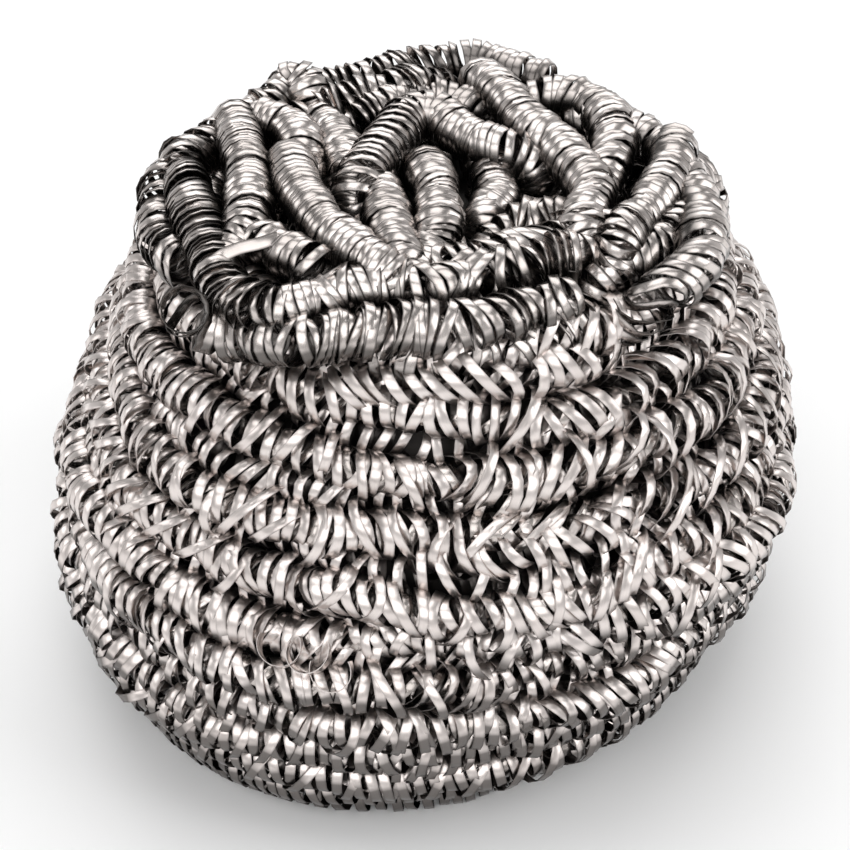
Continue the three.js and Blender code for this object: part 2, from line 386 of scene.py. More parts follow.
class Coil(Enum):
    """The ways in which the ribbon is coiled over the pad."""

    CROWN = CoilStyle(
        radius=2.25, pitch=0.95, ribbon_width=0.98, pitch_spread=0.5, radius_spread=0.12, lean_spread=0.42,
        bow_spread=0.38, stray=0.08, side_shade=2.0, low_shade=0.8, twist=0.36, shingle=0.24,
    )
    ROW = CoilStyle(
        radius=2.2, pitch=1.55, ribbon_width=1.02, pitch_spread=0.35, radius_spread=0.17, lean_spread=0.56,
        bow_spread=0.5, stray=0.24, twist=0.36,
    )
    BETWEEN = CoilStyle(
        radius=1.9, pitch=1.6, segments=12, sense=-1, pitch_spread=0.3, radius_spread=0.18, lean_spread=0.7,
        bow_spread=0.5, stray=0.3, twist=0.4,
    )
    WEAVE = CoilStyle(
        radius=1.5, pitch=2.3, segments=12, sense=-1, pitch_spread=0.3, radius_spread=0.16, lean_spread=0.9,
        bow_spread=0.4, twist=0.45,
    )
    CROSSING = CoilStyle(
        radius=2.5, pitch=3.6, sense=-1, pitch_spread=0.4, radius_spread=0.18, lean_spread=0.8,
        bow_spread=0.6, most_lean=0.7, stray=0.4, twist=0.35,
    )
    UNDER = CoilStyle(
        radius=2.2, pitch=1.9, segments=12, pitch_spread=0.3, radius_spread=0.15, lean_spread=0.8,
        bow_spread=0.5, twist=0.4,
    )


@dataclass
class Ribbon:
    """A length of ribbon: section corners by step, corner and axis, and how far each step faces inward.

    Inward is 0 on the open side of a strand and 1 or more deep inside it, and grows where it faces down; it
    sets the painted shade that darkens the ribbon's colour there.
    """

    sections: Array
    inward: Array

    def part(self, begin: int, end: int) -> "Ribbon":
        """The ribbon from one step to the step before another."""
        return Ribbon(self.sections[begin:end], self.inward[begin:end])


def ribbon_sections(line: Array, across: Array, through: Array) -> Array:
    """Four corners of a flat section at each step: the line plus and minus half of its two side vectors."""
    signs = 0.5 * np.array([[1, 1], [-1, 1], [-1, -1], [1, -1]])
    return line[:, None] + signs[:, 0, None] * across[:, None] + signs[:, 1, None] * through[:, None]


def wind_ribbon(route: Route, style: CoilStyle, seed: int) -> tuple[Ribbon, Array]:
    """Ribbon coiled round a route, as four section corners at each step.

    The turn count is the sum of step over pitch. At turn angle a the ribbon's centre lies at the route's
    centre, plus the radius times (cos a outward + (sin a + stray) sideways), read further along the route by
    the radius times (lean sin a + bow cos a). The section is a flat rectangle, square to the ribbon's own run
    and turned a little about it by the twist, less where the strand is tight. A step faces inward by half of
    (1 - cos a) times the side shade, and more where it faces down, most of all near the foot; this inward
    value is painted shade, darkening the ribbon's colour there.

    Args:
        route: the strand's centre line.
        style: how it is coiled.
        seed: which of the random wanderings to use.

    Returns:
        The ribbon, and how far along the route each of its steps lies.
    """
    fine = np.linspace(0.0, route.length, int(route.length / FINE_STEP))
    slack = route.read(route.slack, fine)
    opened = 1.0 + np.where(slack > 0.0, style.loose_pitch, style.tidy_pitch) * slack
    pitch = style.pitch * opened * (1.0 + style.pitch_spread * waves(fine, style.pitch_waves, seed))
    turns = np.concatenate([[0.0], np.cumsum(np.diff(fine) / pitch[1:])])
    count = np.arange(0, int(turns[-1] * style.segments)) / style.segments
    along = np.interp(count, turns, fine)
    slack = route.read(route.slack, along)
    free = 1.0 + np.where(slack > 0.0, style.loose_spread, 1.0) * slack
    swell = 1.0 + style.loose_swell * np.maximum(slack, 0.0)
    radius = style.radius * swell * route.read(route.girth, along)
    radius *= 1.0 + style.radius_spread * free * waves(count, style.radius_waves, seed)
    most = style.most_lean
    lean = np.clip(style.lean_spread * free * waves(count, style.lean_waves, seed), -most, most)
    bow = np.clip(style.bow_spread * free * waves(count, style.bow_waves, seed), -most, most)
    stray = radius * style.stray * free * waves(count, style.stray_waves, seed)
    angle = style.sense * FULL_TURN * count
    reach_on = radius * (lean * np.sin(angle) + bow * np.cos(angle))
    centre, out, side = route.frames(np.clip(along + reach_on, 0.0, route.length))
    radial = np.cos(angle)[:, None] * out + np.sin(angle)[:, None] * side
    line = centre + radius[:, None] * radial + stray[:, None] * side
    run = unit(np.gradient(line, axis=0))
    width = unit(np.cross(run, radial))
    face = np.cross(width, run)
    turning = waves(count, style.twist_waves, seed)
    twist = np.minimum(free, 1.0) * (style.shingle + style.twist * turning)
    turned = np.cos(twist)[:, None] * width + np.sin(twist)[:, None] * face
    faced = np.cos(twist)[:, None] * face - np.sin(twist)[:, None] * width
    sections = ribbon_sections(line, turned * style.ribbon_width, faced * style.ribbon_thickness)
    sections[..., 2] = np.maximum(sections[..., 2], 0.0)
    # Painted shade: darker inside the coil, where a turn faces down and most of all near the foot.
    shade = style.low_shade + style.foot_shade * (1.0 - smoothstep(line[:, 2], *style.foot_heights))
    inward = style.side_shade * (0.5 - 0.5 * np.cos(angle))
    inward += shade * (1.0 - smoothstep(radial[:, 2], *style.facing_down))
    return Ribbon(sections, inward), along


def box_corners(left: Array, right: Array, bottom: Array, top: Array) -> Array:
    """Corners of flat boxes, four rows for each, anticlockwise from its lower left."""
    corners = np.broadcast_arrays(left, bottom, right, bottom, right, top, left, top)
    return np.stack(corners, axis=-1).reshape(-1, 2)


def ribbon_lay(corners: Array, first: Array, count: int) -> Array:
    """Ribbon map: centimetres along the ribbons and 0 to 1 across them, with the caps in a narrow strip.

    Args:
        corners: section corners by step, corner and axis.
        first: the step that each ring of four side faces starts at.
        count: how many ribbons there are.

    Returns:
        A place for each corner of the side faces and of the caps.
    """
    steps = np.linalg.norm(np.diff(corners.mean(1), axis=0), axis=1)
    travelled = np.concatenate([[0.0], np.cumsum(steps)])
    near, far = (travelled[at][:, None] / MM_PER_CM for at in (first, first + 1))
    sides = box_corners(near, far, np.array([0.0, 0.0, 1.0, 1.0]), np.array([1.0, 0.0, 0.0, 1.0]))
    cap = np.array([[0.0, 0.0], [0.0, 1.0], [0.02, 1.0], [0.02, 0.0]])
    return np.concatenate([sides, np.tile(cap, (2 * count, 1))])


def bake_lay(rings: int, count: int) -> Array:
    """Bake map: a cell of the unit square for each ring of side faces, then for each ribbon's two caps.

    Cells lie in even rows, and a ring's faces share its cell as bands, so no two faces have one place.

    Args:
        rings: how many rings of four side faces there are.
        count: how many ribbons there are.

    Returns:
        A place for each corner of the side faces and of the caps.
    """
    rows_per_column = 0.36
    rows = max(int(math.sqrt((rings + count) * rows_per_column)), 1)
    per_row = math.ceil((rings + count) / rows)
    # Wide faces take 0.4 of a cell's height each and edges 0.1, inside a margin; two caps share a cell.
    bands = np.array([0.0, 0.4, 0.5, 0.9, 1.0]) * 0.96 + 0.02
    cell = np.arange(rings + count)[:, None]
    left, base = cell % per_row / per_row, cell // per_row
    ring, cap = slice(rings), slice(rings, None)
    low, high = (base[ring] + bands[:4]) / rows, (base[ring] + bands[1:]) / rows
    sides = box_corners(left[ring], left[ring] + 1.0 / per_row, low, high)
    start, foot = left[cap], base[cap] / rows
    heads = box_corners(start + 0.1 / per_row, start + 0.9 / per_row, foot + 0.1 / rows, foot + 0.4 / rows)
    return np.concatenate([sides, heads, heads + np.array([0.0, 0.5 / rows])])


def ribbon_object(name: str, ribbons: list[Ribbon], material: Material) -> bpy.types.Object:
    """One mesh of closed ribbons: four long sides between neighbouring sections and a cap at each end.

    Args:
        name: the piece's name.
        ribbons: the lengths of ribbon, in millimetres.
        material: its finish.

    Returns:
        The object, linked to the scene at the origin.
    """
    sizes = np.array([len(ribbon.sections) for ribbon in ribbons])
    heads = np.concatenate([[0], np.cumsum(sizes)[:-1]])
    tails = heads + sizes - 1
    corners = np.concatenate([ribbon.sections for ribbon in ribbons])
    first = np.delete(np.arange(len(corners)), tails)
    corner = np.arange(4)
    near = first[:, None] * 4 + corner
    beside = first[:, None] * 4 + (corner + 1) % 4
    sides = np.stack([near, near + 4, beside + 4, beside], axis=-1).reshape(-1, 4)
    quads = np.concatenate([sides, heads[:, None] * 4 + corner, tails[:, None] * 4 + corner[::-1]])

    mesh = bpy.data.meshes.new(name)
    mesh.vertices.add(len(corners) * 4)
    mesh.vertices.foreach_set("co", ((corners - PAD_MIDDLE) * MM).ravel())
    mesh.loops.add(quads.size)
    mesh.loops.foreach_set("vertex_index", quads.ravel())
    mesh.polygons.add(len(quads))
    mesh.polygons.foreach_set("loop_start", np.arange(len(quads)) * 4)
    mesh.update(calc_edges=True)
    mesh.polygons.foreach_set("use_smooth", np.ones(len(quads), bool))
    pairs = np.empty(len(mesh.edges) * 2, int)
    mesh.edges.foreach_get("vertices", pairs)
    pairs = pairs.reshape(-1, 2)
    lengthwise = np.abs(pairs[:, 0] - pairs[:, 1]) == 4
    on_cap = np.isin(pairs // 4, np.concatenate([heads, tails])).all(1)
    mesh.edges.foreach_set("use_edge_sharp", lengthwise | on_cap)
    # The inward value goes on as a point attribute, which sets the painted shade in the finish.
    inward = np.concatenate([ribbon.inward for ribbon in ribbons]).repeat(4)
    mesh.attributes.new(INWARD_SHADE, "FLOAT", "POINT").data.foreach_set("value", inward)
    lays = {
        RIBBON_MAP: ribbon_lay(corners, first, len(ribbons)),
        BAKE_MAP: bake_lay(len(first), len(ribbons)),
    }
    for label, lay in lays.items():
        mesh.uv_layers.new(name=label).data.foreach_set("uv", lay.ravel())
    mesh.materials.append(material)
    mesh.validate()
    return add_piece(bpy.data.objects.new(name, mesh))


def add_piece(piece: bpy.types.Object) -> bpy.types.Object:
    """Links a piece, lets it ride with the pad and stand for the pad's solid.

    Args:
        piece: the finished object.

    Returns:
        The same object.
    """
    bpy.context.scene.collection.objects.link(piece)
    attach(piece, "root")
    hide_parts(PAD_NODE)
    log.info("%s: %d faces", piece.name, len(piece.data.polygons))
    return piece


@dataclass(frozen=True)
class NodeMaker:
    """Adds nodes to a tree, each input either linked to a socket or set to a value."""

    tree: bpy.types.NodeTree

    def feed(self, node: bpy.types.Node, feeds: dict[str | int, Feed]) -> None:
        """Links or sets inputs of a node.

        Args:
            node: the node.
            feeds: a socket or a value for each input, by name or number.
        """
        for label, given in feeds.items():
            if isinstance(given, Socket):
                self.tree.links.new(given, node.inputs[label])
            else:
                node.inputs[label].default_value = given

    def add(self, kind: str, feeds: dict[str | int, Feed], **settings: object) -> bpy.types.Node:
        """Adds a node.

        Args:
            kind: its type, after the word ShaderNode.
            feeds: a socket or a value for each input.
            **settings: its other properties.

        Returns:
            The node.
        """
        node = self.tree.nodes.new("ShaderNode" + kind)
        for label, value in settings.items():
            setattr(node, label, value)
        self.feed(node, feeds)
        return node

    def math(self, operation: str, *feeds: Feed) -> Socket:
        """Result of a math operation on the feeds, in their order."""
        return self.add("Math", dict(enumerate(feeds)), operation=operation).outputs[0]

    def mix(self, factor: Feed, a: Feed, b: Feed, blend: str = "MIX") -> Socket:
        """Colour a blended with colour b by the factor."""
        feeds = {"Factor": factor, "A": a, "B": b}
        return self.add("Mix", feeds, data_type="RGBA", blend_type=blend).outputs["Result"]

    def spread(self, value: Feed, span: Span, to: Span = (0.0, 1.0), curve: str = "LINEAR") -> Socket:
        """A value brought from one span to another along a curve, and held to its ends."""
        feeds = dict(zip(("Value", "From Min", "From Max", "To Min", "To Max"), (value, *span, *to)))
        return self.add("MapRange", feeds, interpolation_type=curve).outputs["Result"]


@dataclass(frozen=True)
class RolledStreaks:
    """Surface of rolled flat wire: lines along the ribbon, cloudy tint, rougher edges and a slight camber,
    with painted shade along the edges and where the ribbon faces inward or down.

    Scales are in the ribbon map for lines and in metres for clouds. Ranges are the noise, the share of the
    width from the middle, or the inward value, between which an effect sets in.
    """

    line_scale: Triple = (0.8, 14.0, 1.0)
    line_detail: float = 4.0
    line_range: Span = (0.3, 0.7)
    line_tones: Span = (0.95, 1.02)
    line_roughness: float = 0.08
    cloud_scale: float = 160.0
    cloud_detail: float = 3.0
    cloud_range: Span = (0.38, 0.66)
    edge_range: Span = (0.32, 0.5)
    edge_roughness: float = 0.12
    # Painted shade: the inward values over which it sets in, and the near-black tone it darkens to.
    inward_shade_range: Span = (0.35, 0.85)
    painted_shade_tone: tuple[float, float, float, float] = (0.04, 0.036, 0.033, 1.0)

    def group(self) -> bpy.types.NodeTree:
        """Makes the node group; its painted shade darkens the ribbon where it faces inward or down, and along
        its edges.

        Returns:
            The group, with its colour, roughness and height outputs.
        """
        group = bpy.data.node_groups.new("rolled_streaks", "ShaderNodeTree")
        for way, kind, labels in (
            ("INPUT", "NodeSocketColor", ("Tone", "Tint")),
            ("INPUT", "NodeSocketFloat", ("Roughness", "Streak", "Camber", "Edge Shade", "Painted Shade")),
            ("OUTPUT", "NodeSocketColor", ("Color",)),
            ("OUTPUT", "NodeSocketFloat", ("Roughness", "Height")),
        ):
            for label in labels:
                group.interface.new_socket(label, in_out=way, socket_type=kind)
        given = group.nodes.new("NodeGroupInput").outputs
        maker = NodeMaker(group)

        lay = maker.add("UVMap", {}, uv_map=RIBBON_MAP).outputs["UV"]
        stretched = maker.add("Mapping", {"Vector": lay, "Scale": self.line_scale}).outputs["Vector"]
        line_noise = {"Vector": stretched, "Scale": 1.0, "Detail": self.line_detail}
        lines = maker.add("TexNoise", line_noise).outputs["Fac"]
        place = maker.add("TexCoord", {}).outputs["Object"]
        cloud_noise = {"Vector": place, "Scale": self.cloud_scale, "Detail": self.cloud_detail}
        clouds = maker.add("TexNoise", cloud_noise).outputs["Fac"]
        tinted = maker.mix(maker.spread(clouds, self.cloud_range), given["Tone"], given["Tint"])

        across = maker.add("SeparateXYZ", {"Vector": lay}).outputs["Y"]
        reach = maker.math("ABSOLUTE", maker.math("SUBTRACT", across, 0.5))
        # Edges: the edge mask makes them rougher, and the edge input darkens their colour as painted shade
        # between touching turns.
        edge = maker.spread(reach, self.edge_range)
        streaked = maker.spread(lines, self.line_range, self.line_tones)
        bright = maker.math("SUBTRACT", streaked, maker.math("MULTIPLY", edge, given["Edge Shade"]))
        shaded = maker.mix(1.0, tinted, bright, "MULTIPLY")
        # Painted shade: where the inward attribute is high, the colour is blended towards a near-black tone.
        facing = maker.add("Attribute", {}, attribute_name=INWARD_SHADE).outputs["Fac"]
        inside = maker.spread(facing, self.inward_shade_range, curve="SMOOTHSTEP")
        colour = maker.mix(maker.math("MULTIPLY", inside, given["Painted Shade"]), shaded, self.painted_shade_tone)

        lined = maker.math("MULTIPLY_ADD", lines, self.line_roughness, given["Roughness"])
        rough = maker.math("MULTIPLY_ADD", edge, self.edge_roughness, lined)
        ridges = maker.math("MULTIPLY", lines, given["Streak"])
        fall = maker.math("MULTIPLY", maker.math("POWER", reach, 2.0), given["Camber"])
        height = maker.math("SUBTRACT", ridges, fall)
        made = group.nodes.new("NodeGroupOutput")
        maker.feed(made, {"Color": colour, "Roughness": rough, "Height": height})
        return group


@dataclass(frozen=True)
class RibbonSteel:
    """Bright rolled stainless ribbon: tones from clean to slightly warm, and how dull and lined it is.

    The edge value is how far its colour darkens along its edges, as painted shade between turns, and the
    painted shade value how far it darkens where it faces inward or down.
    """

    name: str
    tone: Triple
    tint: Triple
    roughness: float
    edge: float
    streak: float = 0.025
    camber: float = 2.4
    painted_shade: float = 0.8
    relief: float = 0.0001

    def material(self, streaks: bpy.types.NodeTree) -> Material:
        """Makes the finish as a metal whose colour, roughness and fine lines come from the streaks group.

        Args:
            streaks: the shared node group.

        Returns:
            The material.
        """
        made = bpy.data.materials.new(self.name)
        made.use_nodes = True
        maker = NodeMaker(made.node_tree)
        rolled = maker.add("Group", {}, node_tree=streaks)
        maker.feed(rolled, {
            "Tone": (*self.tone, 1.0),
            "Tint": (*self.tint, 1.0),
            "Roughness": self.roughness,
            "Streak": self.streak,
            "Camber": self.camber,
            "Edge Shade": self.edge,
            "Painted Shade": self.painted_shade,
        })
        look = rolled.outputs
        bump = maker.add("Bump", {"Strength": 1.0, "Distance": self.relief, "Height": look["Height"]})
        maker.feed(made.node_tree.nodes["Principled BSDF"], {
            "Metallic": 1.0,
            "Base Color": look["Color"],
            "Roughness": look["Roughness"],
            "Normal": bump.outputs["Normal"],
        })
        return made


# The crown's steel is darker than the rows' steel, painted shade over the crown; the inner steel is darker
# again, painted shade on turns inside the pad; the deep inside steel is near black, painted shade.
CROWN_STEEL = RibbonSteel("crown_ribbon_steel", (0.72, 0.66, 0.63), (0.5, 0.455, 0.43), 0.21, 0.8)
ROW_STEEL = RibbonSteel("row_ribbon_steel", (0.8, 0.735, 0.705), (0.7, 0.635, 0.605), 0.26, 0.35)
SHADED_INNER_STEEL = RibbonSteel("inner_ribbon_shaded_steel", (0.62, 0.565, 0.535), (0.44, 0.4, 0.375), 0.2, 0.35)
DEEP_SHADE_STEEL = RibbonSteel("deep_inside_shade_steel", (0.07, 0.065, 0.062), (0.04, 0.036, 0.034), 0.45, 0.0)


@dataclass
class SideRows:
    """The strand's main run, from the eye under the pad up to the rim, cut into a few pieces.

    Each loose patch has its slack, then the middle and reach of its bearing in degrees and of its height.
    """

    step: float = 0.002
    height_wander: float = 0.65
    height_spacing: float = 15.0
    radial_wander: float = 0.6
    radial_spacing: float = 10.0
    loose_wander: float = 0.6
    settling: Span = (0.3, 1.2)
    turning_out: Span = (-0.4, 0.6)
    upturn: float = 0.25
    between_depth: float = 1.3
    between_raise: float = 0.5
    between_first: float = 0.5
    between_short: float = 0.8
    loose_patches: tuple[Knot, ...] = ((1.2, -44, 24, 39, 12), (0.65, -74, 26, 33, 16))
    foot_tidy: float = 0.6
    foot_heights: Span = (8.0, 18.0)
    left_tidy: float = 0.15
    left_bearings: Span = (120.0, 150.0)
    pieces: tuple[tuple[str, float], ...] = (
        ("underside_coil", 0.0),
        ("lower_rows_coil", 3.6),
        ("middle_rows_coil", 7.2),
        ("upper_rows_coil", math.inf),
    )

    def route(
        self, first: float, last: float, inward: float = 0.0, raised: float = 0.0, seed: int = 5
    ) -> Route:
        """Centre line of the run: faces down on the underside and straight out on the sides.

        Args:
            first: turn it starts at.
            last: turn it ends at.
            inward: how far inside the outer rows it runs.
            raised: how many rows above the outer rows it runs.
            seed: which of the random wanderings to use.

        Returns:
            The route.
        """
        turn = np.arange(first, last, self.step)
        points = FORM.winding(turn, inward, raised)
        bearing = FORM.winding_bearing(turn)
        round_axis = np.stack([np.cos(bearing), np.sin(bearing)], -1)
        travel = turn * FULL_TURN * FORM.belly_radius
        loose = 1.0 + self.loose_wander * np.maximum(self.slack(points), 0.0)
        settle = smoothstep(turn, *self.settling) * loose
        points[:, 2] += self.height_wander * settle * wander(travel, self.height_spacing, seed)
        sway = self.radial_wander * settle * wander(travel, self.radial_spacing, seed + 1)
        points[:, :2] += sway[:, None] * round_axis
        sideways = smoothstep(turn, *self.turning_out)[:, None]
        outward = np.hstack([round_axis * sideways, -1.0 + sideways * (1.0 + self.upturn)])
        return Route(points, unit(outward), self.slack(points))

    def slack(self, points: Array) -> Array:
        """Slack of the rows: tidy at the foot and on the left, loose in front and on the right of it.

        Args:
            points: centre line points.

        Returns:
            One value each.
        """
        bearing = np.degrees(np.arctan2(points[:, 1], points[:, 0]))
        height = points[:, 2]
        loose = sum(
            amount * np.exp(-(((bearing - facing) / wide) ** 2) - ((height - level) / tall) ** 2)
            for amount, facing, wide, level, tall in self.loose_patches
        )
        foot = self.foot_tidy * (1.0 - smoothstep(height, *self.foot_heights))
        left = self.left_tidy * smoothstep(np.abs(bearing), *self.left_bearings)
        return np.clip(loose - np.maximum(foot, left), -1.0, 1.0)

    def build(self, steel: Material, shaded_inner_steel: Material) -> None:
        """Winds the run's ribbon and makes its pieces.

        Args:
            steel: finish of the rows.
            shaded_inner_steel: finish of the turns inside them, darker as painted shade.
        """
        route = self.route(-FORM.underside_turns, FORM.row_count)
        ribbon, along = wind_ribbon(route, Coil.ROW.value, seed=11)
        turn = -FORM.underside_turns + np.interp(along, route.place, np.arange(len(route.place)) * self.step)
        begin = 0
        for name, last_turn in self.pieces:
            end = int(np.searchsorted(turn, last_turn))
            ribbon_object(name, [ribbon.part(begin, end + 1)], steel)
            begin = end
        last = FORM.row_count - self.between_short
        inner = self.route(self.between_first, last, self.between_depth, self.between_raise, seed=205)
        between, _ = wind_ribbon(inner, Coil.BETWEEN.value, seed=21)
        ribbon_object("between_rows_coil", [between], steel)
        weave, _ = wind_ribbon(self.route(0.0, FORM.row_count), Coil.WEAVE.value, seed=31)
        ribbon_object("inner_weave", [weave], shaded_inner_steel)


@dataclass
class CrossingRibbons:
    """Loose ribbon over the rows: turns coiled the other way, three short lengths and thin rings.

    The lengths are a stray one on the left, a fringe under the front roll and loose turns in front, each
    given by bearing in degrees, height and lift off the rows. A ring is bearing, height and radius.
    """

    rows: SideRows
    first_row: float = 1.4
    last_row: float = 9.6
    stray_along: tuple[Knot, ...] = (
        (-172, 27, -5), (-166, 24, 0.6), (-152, 19, 0.6), (-138, 16, 0.6), (-122, 15.5, 0.6), (-114, 15, -5),
    )
    fringe_along: tuple[Knot, ...] = (
        (-116, 47.5, -4), (-108, 49, 0.4), (-92, 49.6, 0.6), (-76, 50, 0.6), (-60, 50.4, 0.4), (-48, 49, -4),
    )
    loose_along: tuple[Knot, ...] = (
        (-94, 34.5, -4), (-84, 35.6, -0.6), (-73, 36, -0.2), (-62, 36.4, -0.4), (-54, 36.6, -4),
    )
    rings: tuple[Knot, ...] = ((-111.3, 26.2, 2.1), (-107.2, 26, 2.05), (-103.8, 24.2, 2))
    ring_steps: int = 40
    ring_arc: Span = (0.45 * FULL_TURN, 1.1 * FULL_TURN)
    ring_tilt: float = 0.9
    ring_lean: float = 0.2
    ring_gap: float = 0.3

    def route_over(self, knots: tuple[Knot, ...], slack: float) -> Route:
        """Centre line over the rows, from bearings in degrees, heights and lifts.

        Args:
            knots: the three numbers for each point.
            slack: how loose the strand is.

        Returns:
            The route, facing straight out.
        """
        degrees, height, lift = np.array(knots).T
        line = curve_through(FORM.round_point(FORM.side_radius(height) + lift, np.radians(degrees), height))
        return Route(line, unit(line * LEVEL), slack)

    def ring(self, degrees: float, height: float, radius: float) -> Ribbon:
        """Lower part of a thin ring on edge against the rows, from bearing, height and radius.

        The ring's points are a spot over the rows plus the radius times (cos a level + sin a upward), square
        to an axis that points out and up. Its width runs along that axis, leaning with the angle.

        Args:
            degrees: bearing of the ring's middle.
            height: height of its middle.
            radius: its radius.

        Returns:
            The ring's ribbon.
        """
        bearing = math.radians(degrees)
        out = np.array([math.cos(bearing), math.sin(bearing), 0.0])
        level = np.array([-math.sin(bearing), math.cos(bearing), 0.0])
        axis = unit(out + self.ring_tilt * UP)
        spot = FORM.round_point(FORM.side_radius(np.array(height)), np.array(bearing), np.array(height))
        angle = np.linspace(*self.ring_arc, self.ring_steps)[:, None]
        spoke = np.cos(angle) * level + np.sin(angle) * np.cross(axis, level)
        wide = unit(axis + self.ring_lean * np.sin(2.0 * angle + degrees) * spoke)
        lying = spot + (FORM.strand_diameter / 2 + self.ring_gap) * axis + radius * spoke
        style = Coil.ROW.value
        sections = ribbon_sections(lying, wide * style.ribbon_width, spoke * style.ribbon_thickness)
        return Ribbon(sections, np.zeros(len(sections)))

    def build(self, steel: Material) -> None:
        """Winds the crossing ribbon, the stray length, the fringe and loose turns in front, and the rings.

        Args:
            steel: their finish.
        """
        over, _ = wind_ribbon(self.rows.route(self.first_row, self.last_row), Coil.CROSSING.value, seed=41)
        lengths = ((self.stray_along, 0.0, 51), (self.fringe_along, 0.4, 71), (self.loose_along, 0.4, 81))
        laid = [
            wind_ribbon(self.route_over(knots, slack), Coil.ROW.value, seed)[0]
            for knots, slack, seed in lengths
        ]
        rings = [self.ring(*place) for place in self.rings]
        ribbon_object("crossing_ribbons", [over, *laid, *rings], steel)


@dataclass(frozen=True)
class Loop:
    """One loop over the crown: bearing in degrees, rows in from the rim and drop, along its centre line.

    Pitch and girth are shares of those of the other loops. The values after them are common to all: how a
    tucked end bends and thins, how far out a loop faces over the rim, and its widest ribbon by pitch.
    """

    lift: float
    along: tuple[Knot, ...]
    slack: Span = (0.0, 0.0)
    open_start: bool = False
    open_finish: bool = False
    pitch: float = 1.0
    girth: float = 1.0
    bend_reach: float = 0.7
    bend_dive: float = 0.3
    rim_radii: Span = (18.0, 27.0)
    rim_facing: float = 1.4
    tucked_girth: float = 0.55
    taper: Span = (1.0, 7.0)
    widest: float = 1.3

    def knots(self) -> Array:
        """Knots with a drop of 0 where none is given."""
        return np.array([(*knot, 0.0)[:3] for knot in self.along])

    def tuck(self, end: Array, following: Array) -> Array:
        """Two points on a rounded way in and down that a tucked end takes, the last one first.

        Args:
            end: the loop's end.
            following: the knot next to it.

        Returns:
            The points.
        """
        onward = unit((end - following) * LEVEL) * FORM.end_reach
        inward = unit((CROWN_MIDDLE - end) * LEVEL) * FORM.end_draw
        down = FORM.end_dive * UP
        bend = self.bend_reach * onward - self.bend_dive * down
        return np.array([end + onward + inward - down, end + bend])

    def route(self) -> Route:
        """Centre line through the knots, with its tucked ends carried on and down into the pad.

        Returns:
            The route, facing up, and out as well over the rim, and thinner towards its tucked ends.
        """
        points = FORM.crown_points(self.knots(), self.lift)
        first = [] if self.open_start else self.tuck(points[0], points[1])
        last = [] if self.open_finish else self.tuck(points[-1], points[-2])[::-1]
        line = curve_through(np.array([*first, *points, *last]))
        from_middle = (line - CROWN_MIDDLE) * LEVEL
        rim_share = smoothstep(np.linalg.norm(from_middle, axis=1), *self.rim_radii)[:, None]
        outward = unit(UP + self.rim_facing * rim_share * unit(from_middle))
        route = Route(line, outward, np.linspace(*self.slack, len(line)))
        to_finish = route.length - route.place
        for is_open, from_end in ((self.open_start, route.place), (self.open_finish, to_finish)):
            if not is_open:
                grown = (1.0 - self.tucked_girth) * smoothstep(from_end, *self.taper)
                route.girth = np.minimum(route.girth, self.tucked_girth + grown)
        route.girth = self.girth * route.girth
        return route

    def style(self) -> CoilStyle:
        """The crown's way of coiling, at the loop's own pitch, narrower where turns would cut each other."""
        common = Coil.CROWN.value
        pitch = common.pitch * self.pitch
        return replace(common, pitch=pitch, ribbon_width=min(common.ribbon_width, self.widest * pitch))


